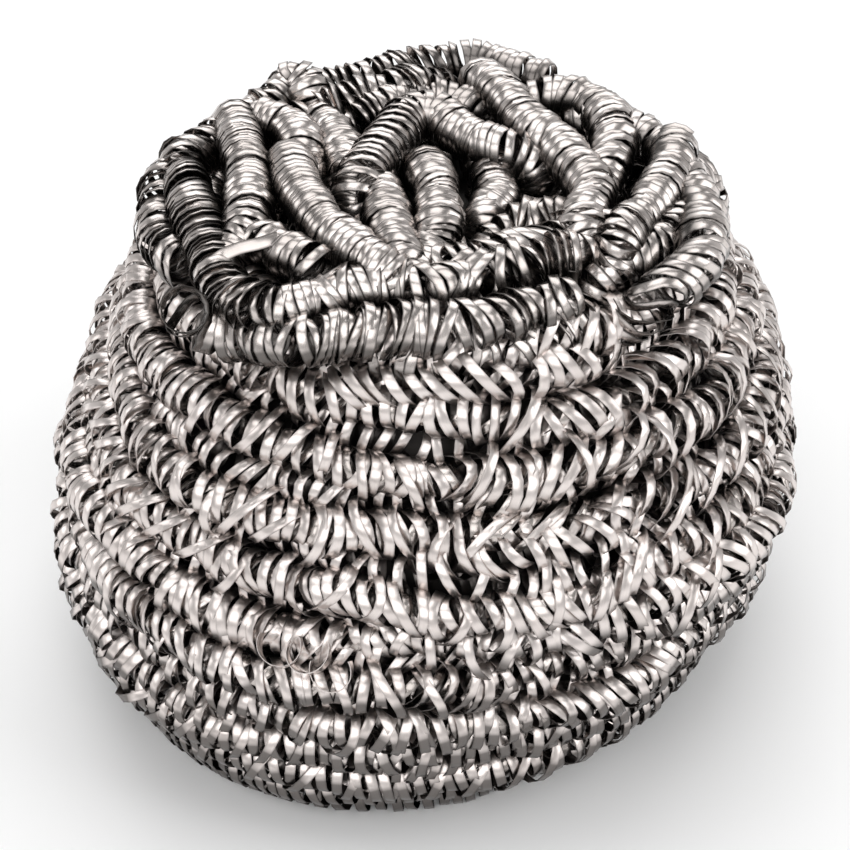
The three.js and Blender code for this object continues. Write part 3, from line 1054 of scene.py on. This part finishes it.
CROWN_LOOPS: dict[str, Loop] = {
    "rim": Loop(0.0, (
        (210, -0.25, 2.6), (196, -0.45, 2.5), (187, -0.4, 2), (174, -0.25, 1.4), (160, 0.15, 0.6),
        (145, 0.4, 0.2), (130, 0.55), (111, 0.7), (95, 0.3), (82, 0.05), (72, 0.35), (60, 0.5),
    ), (0.3, 0.0), open_start=True, open_finish=True, pitch=0.9),
    "right_rim": Loop(0.0, (
        (40, 1.15, 0.8), (30, 0.9), (14, 0.55), (-2, 0.35), (-12, 0.15), (-23, -0.15), (-35, -0.5),
        (-45, -0.4, 0.4), (-49, -0.1, 3.2),
    ), (0.2, 0.7)),
    "front_roll": Loop(0.0, (
        (-134, -1.45, -0.6), (-136, -1.25, 0.9), (-135, -0.9, 2.9), (-129, -0.65, 3.4), (-117, -0.7, 1.6),
        (-110, -0.3, 1.2), (-99, 0, 1), (-86, 0.1, 1), (-74, 0.3, 0.6), (-58, 0.3, 0.3),
    ), (-0.3, 0.8), open_start=True, open_finish=True, pitch=1.1),
    "front_ring": Loop(0.0, (
        (-84, 1.15, 0.6), (-94, 0.85), (-104, 0.8), (-113, 0.5), (-119, 0), (-125, -0.5), (-131, -0.55),
        (-137, -0.4), (-148, 0), (-159, 0.15), (-172, 0.15), (-183, 0, 0.2), (-192, -0.2, 0.8),
    ), (0.6, -0.1), pitch=0.8),
    "front_loops": Loop(-0.2, ((-85, 1.4, 0.6), (-76, 1.25, 0.2), (-60, 1.3), (-46, 1.15, 0.6)), (0.9, 0.9)),
    "front_ledge": Loop(0.0, (
        (-105, 0.2, 4.4), (-91, 0.25, 4.4), (-75, 0.3, 3.8), (-60, 0.3, 3.4),
    ), (1.0, 1.0), pitch=1.3, girth=1.25),
    "back_ledge": Loop(0.0, (
        (158, 0, 3.4), (130, 0.1, 3), (95, 0, 3), (60, 0.2, 3), (30, 0.2, 2.8), (8, 0, 3),
    ), (0.3, 0.3)),
    "right_ledge": Loop(-0.6, (
        (8, 0.15, 1.4), (-13, 0.4, 0.6), (-28, 0.45, 0.4), (-47, 0.65, 0.8),
    ), (0.7, 0.7)),
    "cross_fold": Loop(0.6, ((-142, 0.7), (-136, 0.8), (-129, 0.8), (-122, 0.65)), (0.3, 0.3)),
    "right_bar": Loop(1.2, (
        (12, 0.35, 0.3), (1, 0.6), (-11, 0.75), (-23, 0.85), (-40, 0.8, 0.6),
    ), (-0.2, 0.2), open_start=True, pitch=0.85),
    "left_bar": Loop(0.8, (
        (154, 0.4, 0.4), (168, 0.95), (186, 1.2), (203, 1), (213, 0.65), (215, 0.3, 0.6),
    ), (-0.3, -0.2), pitch=0.7),
    "left_petal": Loop(1.4, (
        (179, 1.95, 0.4), (200, 1.95), (215, 1.85), (229, 1.6), (242, 1.35), (255, 1, 0.6),
    ), (-0.6, -0.2), pitch=0.7),
    "upper_petal": Loop(0.4, (
        (148, 0.65, 0.6), (150, 1.2), (157, 1.8), (167, 2.1, 0.6),
    ), (0.2, 0.2), pitch=0.8),
    "dark_petal": Loop(0.0, ((137, 1.6, 0.4), (148, 2.35), (163, 2.85), (180, 3, 0.6)), pitch=0.7),
    "back_arch": Loop(1.6, (
        (192, 3.15, 0.6), (164, 3.35), (134, 3.25), (114, 2.95), (101, 2.8), (92, 2.9), (82, 3.2), (63, 3.4),
        (40, 3.4), (22, 3.2, 0.4),
    ), (-0.85, -0.1), pitch=0.75, girth=1.12),
    "back_row": Loop(0.3, (
        (136, 1.4, 0.4), (127, 1.55), (115, 1.55), (103, 1.5), (94, 1.3, 0.6),
    ), (0.2, 0.4), pitch=1.2),
    "back_fold": Loop(-0.6, ((125, 1.9, 0.4), (107, 1.85), (91, 1.7), (76, 1.9, 0.4)), (0.4, 0.4)),
    "long_right_arc": Loop(1.0, (
        (76, 1.25, 0.4), (65, 1.9), (51, 2.35), (32, 2.55), (12, 2.45), (-7, 2.2), (-23, 1.85),
        (-42, 1.5, 0.6),
    ), (-0.2, 0.2), pitch=0.8),
    "outer_right_arc": Loop(0.4, (
        (56, 1.2, 0.4), (49, 1), (40, 0.95), (28, 1.15), (13, 1.5), (-13, 1.8, 0.6),
    ), (0.1, 0.1)),
    "front_fold": Loop(-0.6, ((-92, 1.65, 0.2), (-81, 1.65), (-67, 1.8), (-53, 1.8), (-40, 1.7)), (0.8, 0.8)),
    "right_fold": Loop(-0.6, (
        (-61, 2.55, 0.2), (-45, 2.45), (-35, 2.1), (-34, 1.55), (-37, 1.05),
    ), (0.8, 0.8)),
    "left_finger": Loop(0.4, (
        (177, 3.4, 0.6), (214, 3.35), (242, 2.65), (256, 1.65, 0.6),
    ), (-0.2, 0), pitch=0.8),
    "middle_finger": Loop(0.0, (
        (135, 4.25, -3), (252, 4.15, -3.3), (266, 3.35, -1.4), (267, 2.6, -0.2), (265, 2.1, 0.8),
    ), (-0.2, 0), pitch=0.8),
    "right_finger": Loop(0.2, ((40, 3.5, 0.6), (8, 3.7), (-29, 3.55), (-53, 3.35, 0.6)), (-0.2, 0)),
    "rim_bump": Loop(0.0, ((137, 0.5, -0.4), (132, 0.35, -1.2), (130, 0.55, -1.5), (132, 1.05, -0.4))),
}


@dataclass
class Crown:
    """The loops folded over the top of the pad, a flat strap across them and the coils under them."""

    loops: dict[str, Loop]
    under_drop: float = 4.2
    under_pitch: float = 4.6
    under_eye_radius: float = 8.0
    under_steps: int = 200
    under_slack: float = 0.3
    under_wander: float = 0.7
    under_travel: float = 30.0
    under_spacing: float = 6.0
    strap: tuple[Knot, ...] = (
        (-140, -0.39, -1.6), (-139, -0.22, -2.3), (-138, 0.06, -2.6), (-136, 0.36, -2.6), (-135, 0.68, -2.4),
        (-136, 1.05, -1.6),
    )
    strap_width: float = 1.3
    strap_facing: Triple = (0.15, -0.5, 0.9)

    def strap_ribbon(self) -> Ribbon:
        """The strap: flat, along the curve through its knots, its width square to the way it faces.

        Returns:
            Its ribbon.
        """
        line = curve_through(FORM.crown_points(np.array(self.strap), 0.0), per_span=8)
        run = unit(np.gradient(line, axis=0))
        wide = unit(np.cross(np.array(self.strap_facing), run))
        thickness = Coil.CROWN.value.ribbon_thickness
        sections = ribbon_sections(line, wide * self.strap_width, np.cross(run, wide) * thickness)
        return Ribbon(sections, np.zeros(len(line)))

    def under_route(self) -> Route:
        """Centre line of the coils under the loops: a flat spiral in from the rim, at a drop below the crown.

        Returns:
            The route, facing up.
        """
        turns = (FORM.rim_half_width - self.under_eye_radius) / self.under_pitch
        turn = np.linspace(0.0, turns, int(turns * self.under_steps))
        rows_in = turn * self.under_pitch / FORM.crown_pitch
        uneven = wander(turn * self.under_travel, self.under_spacing, 61)
        drop = self.under_drop + self.under_wander * uneven
        points = FORM.crown_points(np.stack([np.degrees(FULL_TURN * turn), rows_in, drop], -1), 0.0)
        return Route(points, UP, self.under_slack)

    def build(self, steel: Material, shaded_inner_steel: Material) -> None:
        """Winds every loop and makes them one piece with the strap, and winds the coils under them.

        Args:
            steel: finish of the crown.
            shaded_inner_steel: finish of the coils under it, darker as painted shade.
        """
        wound = [
            wind_ribbon(loop.route(), loop.style(), 101 + 20 * number)[0]
            for number, loop in enumerate(self.loops.values())
        ]
        ribbon_object("crown_loops_coil", [*wound, self.strap_ribbon()], steel)
        under, _ = wind_ribbon(self.under_route(), Coil.UNDER.value, seed=61)
        ribbon_object("under_crown_coil", [under], shaded_inner_steel)


@dataclass
class PackedInside:
    """The crushed turns deep in the pad, as one uneven body behind the rows, near black as painted shade.

    Climb, widening and closing are shares of the profile, and bump waves are counts round and along.
    """

    depth: float = 5.2
    bumps: float = 0.7
    around: int = 96
    down: int = 64
    above_foot: float = 2.2
    climb: Span = (0.15, 0.85)
    widening: Span = (0.0, 0.2)
    closing: Span = (0.78, 1.0)
    least_radius: float = 0.3
    bump_waves: tuple[Span, ...] = ((9, 40), (5, -57))

    def build(self, steel: Material) -> None:
        """Turns the inside's profile round the axis, with uneven bumps, and closes it at both poles.

        The profile runs from the middle of the underside out to the foot, up the sides and in over the
        crown, each less the depth. The radius gets the bumps as a product of sines round and along.

        Args:
            steel: finish of the deep inside, near black as painted shade.
        """
        share = np.linspace(0.0, 1.0, self.down)[1:-1]
        low = FORM.foot_height + self.above_foot
        top = FORM.rim_height - self.depth
        height = low + (top - low) * smoothstep(share, *self.climb)
        wall = FORM.side_radius(height) - self.depth
        radius = wall * smoothstep(share, *self.widening) * (1.0 - smoothstep(share, *self.closing))
        bearing = np.linspace(0.0, FULL_TURN, self.around, endpoint=False)
        along = share[:, None]
        uneven = np.prod([np.sin(a * bearing + b * along) for a, b in self.bump_waves], axis=0)
        reach = np.maximum(radius[:, None] + self.bumps * uneven, self.least_radius)
        grid = FORM.round_point(reach, bearing, np.broadcast_to(height[:, None], reach.shape))
        poles = np.stack([low * UP, CROWN_MIDDLE + top * UP])
        points = np.concatenate([grid.reshape(-1, 3), poles])
        rings, around = reach.shape
        ring = np.arange(rings - 1)[:, None] * around
        column = np.arange(around)
        following = (column + 1) % around
        upper = ring + around
        quads = np.stack([ring + column, ring + following, upper + following, upper + column], axis=-1)
        last = (rings - 1) * around
        below = np.stack([np.full(around, len(points) - 2), following, column], axis=-1)
        above = np.stack([np.full(around, len(points) - 1), last + column, last + following], axis=-1)
        mesh = bpy.data.meshes.new("packed_inside")
        faces = [*quads.reshape(-1, 4).tolist(), *below.tolist(), *above.tolist()]
        mesh.from_pydata(((points - PAD_MIDDLE) * MM).tolist(), [], faces)
        mesh.polygons.foreach_set("use_smooth", np.ones(len(mesh.polygons), bool))
        mesh.materials.append(steel)
        corners = np.empty(len(mesh.loops), int)
        mesh.loops.foreach_get("vertex_index", corners)
        lay = points[corners][:, [2, 0]] / MM_PER_CM
        mesh.uv_layers.new(name=RIBBON_MAP).data.foreach_set("uv", lay.ravel())
        add_piece(bpy.data.objects.new("packed_inside", mesh))


def aim(rig: bpy.types.Object, target: Triple) -> None:
    """Turns a lamp or camera in its place to face the target, and links it to the scene."""
    rig.rotation_euler = (Vector(target) - rig.location).to_track_quat("-Z", "Y").to_euler()
    bpy.context.scene.collection.objects.link(rig)


@dataclass(frozen=True)
class Softbox:
    """A flat lamp aimed at the pad: place, width and height in metres, brightness as radiance."""

    name: str
    place: Triple
    width: float
    height: float
    radiance: float
    target: Triple = (0.0, 0.0, 0.03)

    def build(self) -> None:
        """Adds the lamp, with power for its radiance: pi times area times radiance."""
        lamp = bpy.data.lights.new(self.name, "AREA")
        lamp.shape = "RECTANGLE"
        lamp.size = self.width
        lamp.size_y = self.height
        lamp.energy = math.pi * self.width * self.height * self.radiance
        rig = bpy.data.objects.new(self.name, lamp)
        rig.location = self.place
        aim(rig, self.target)


@dataclass
class Studio:
    """Pale floor, soft light and the camera at the photograph's viewing angle.

    Horizon and zenith are each a place on the ramp of the room's light and the tone there.
    """

    elevation: float = math.radians(37.0)
    distance: float = 0.240
    target: Triple = (0.0005, 0.0, 0.026)
    focal_pixels: float = 2239.0
    frame_pixels: float = 850.0
    sensor_width: float = 36.0
    nearest: float = 0.01
    floor_half: float = 2.0
    floor_tone: float = 0.94
    floor_roughness: float = 0.9
    horizon: Span = (0.3, 0.55)
    zenith: Span = (0.7, 0.25)
    lamps: tuple[Softbox, ...] = (
        Softbox("top_softbox", (-0.1, 0.05, 1.15), 0.85, 0.85, 1.8),
        Softbox("key_softbox", (-0.2, -0.85, 0.78), 1.2, 0.85, 1.85),
        Softbox("back_softbox", (0.05, 1.0, 0.72), 1.4, 0.75, 1.8),
        Softbox("left_softbox", (-1.05, 0.05, 0.5), 0.6, 0.6, 1.6),
        Softbox("right_softbox", (1.0, -0.22, 0.6), 0.9, 0.9, 1.9),
    )

    def build_camera(self) -> None:
        """Adds the camera, aimed at the target from the front."""
        lens = bpy.data.cameras.new("camera")
        lens.sensor_width = self.sensor_width
        lens.lens = self.focal_pixels / self.frame_pixels * self.sensor_width
        lens.clip_start = self.nearest
        camera = bpy.data.objects.new("camera", lens)
        away = Vector((0.0, -math.cos(self.elevation), math.sin(self.elevation)))
        camera.location = Vector(self.target) + self.distance * away
        aim(camera, self.target)
        bpy.context.scene.camera = camera

    def build_floor(self) -> None:
        """Adds the floor, matt and nearly white."""
        half = self.floor_half
        mesh = bpy.data.meshes.new("floor")
        corners = [(-half, -half, 0), (half, -half, 0), (half, half, 0), (-half, half, 0)]
        mesh.from_pydata(corners, [], [(0, 1, 2, 3)])
        paint = bpy.data.materials.new("floor_paint")
        paint.use_nodes = True
        NodeMaker(paint.node_tree).feed(paint.node_tree.nodes["Principled BSDF"], {
            "Base Color": (*[self.floor_tone] * 3, 1.0),
            "Roughness": self.floor_roughness,
            "Specular IOR Level": 0.0,
        })
        mesh.materials.append(paint)
        floor = bpy.data.objects.new("floor", mesh)
        bpy.context.scene.collection.objects.link(floor)

    def build_world(self) -> None:
        """Adds the room's light: pale at the horizon, falling off towards the top."""
        world = bpy.data.worlds.new("studio")
        world.use_nodes = True
        maker = NodeMaker(world.node_tree)
        way = maker.add("TexCoord", {}).outputs["Generated"]
        upward = maker.add("SeparateXYZ", {"Vector": way}).outputs["Z"]
        ramp = maker.add("ValToRGB", {"Fac": upward})
        for stop, (place, tone) in zip(ramp.color_ramp.elements, (self.horizon, self.zenith)):
            stop.position = place
            stop.color = (tone, tone, tone, 1.0)
        maker.feed(world.node_tree.nodes["Background"], {"Color": ramp.outputs["Color"]})
        bpy.context.scene.world = world

    def build(self) -> None:
        """Builds the whole studio."""
        bpy.context.scene.view_settings.view_transform = "Standard"
        self.build_camera()
        self.build_floor()
        self.build_world()
        for lamp in self.lamps:
            lamp.build()


def main() -> None:
    """Builds the pad's pieces and the studio in order."""
    logging.basicConfig(level=logging.INFO, format="%(name)s: %(message)s")
    streaks = RolledStreaks().group()
    row_steel = ROW_STEEL.material(streaks)
    rows = SideRows()
    shaded_inner_steel = SHADED_INNER_STEEL.material(streaks)
    rows.build(row_steel, shaded_inner_steel)
    CrossingRibbons(rows).build(row_steel)
    Crown(CROWN_LOOPS).build(CROWN_STEEL.material(streaks), shaded_inner_steel)
    PackedInside().build(DEEP_SHADE_STEEL.material(streaks))
    Studio().build()


if __name__ == "__main__":
    main()
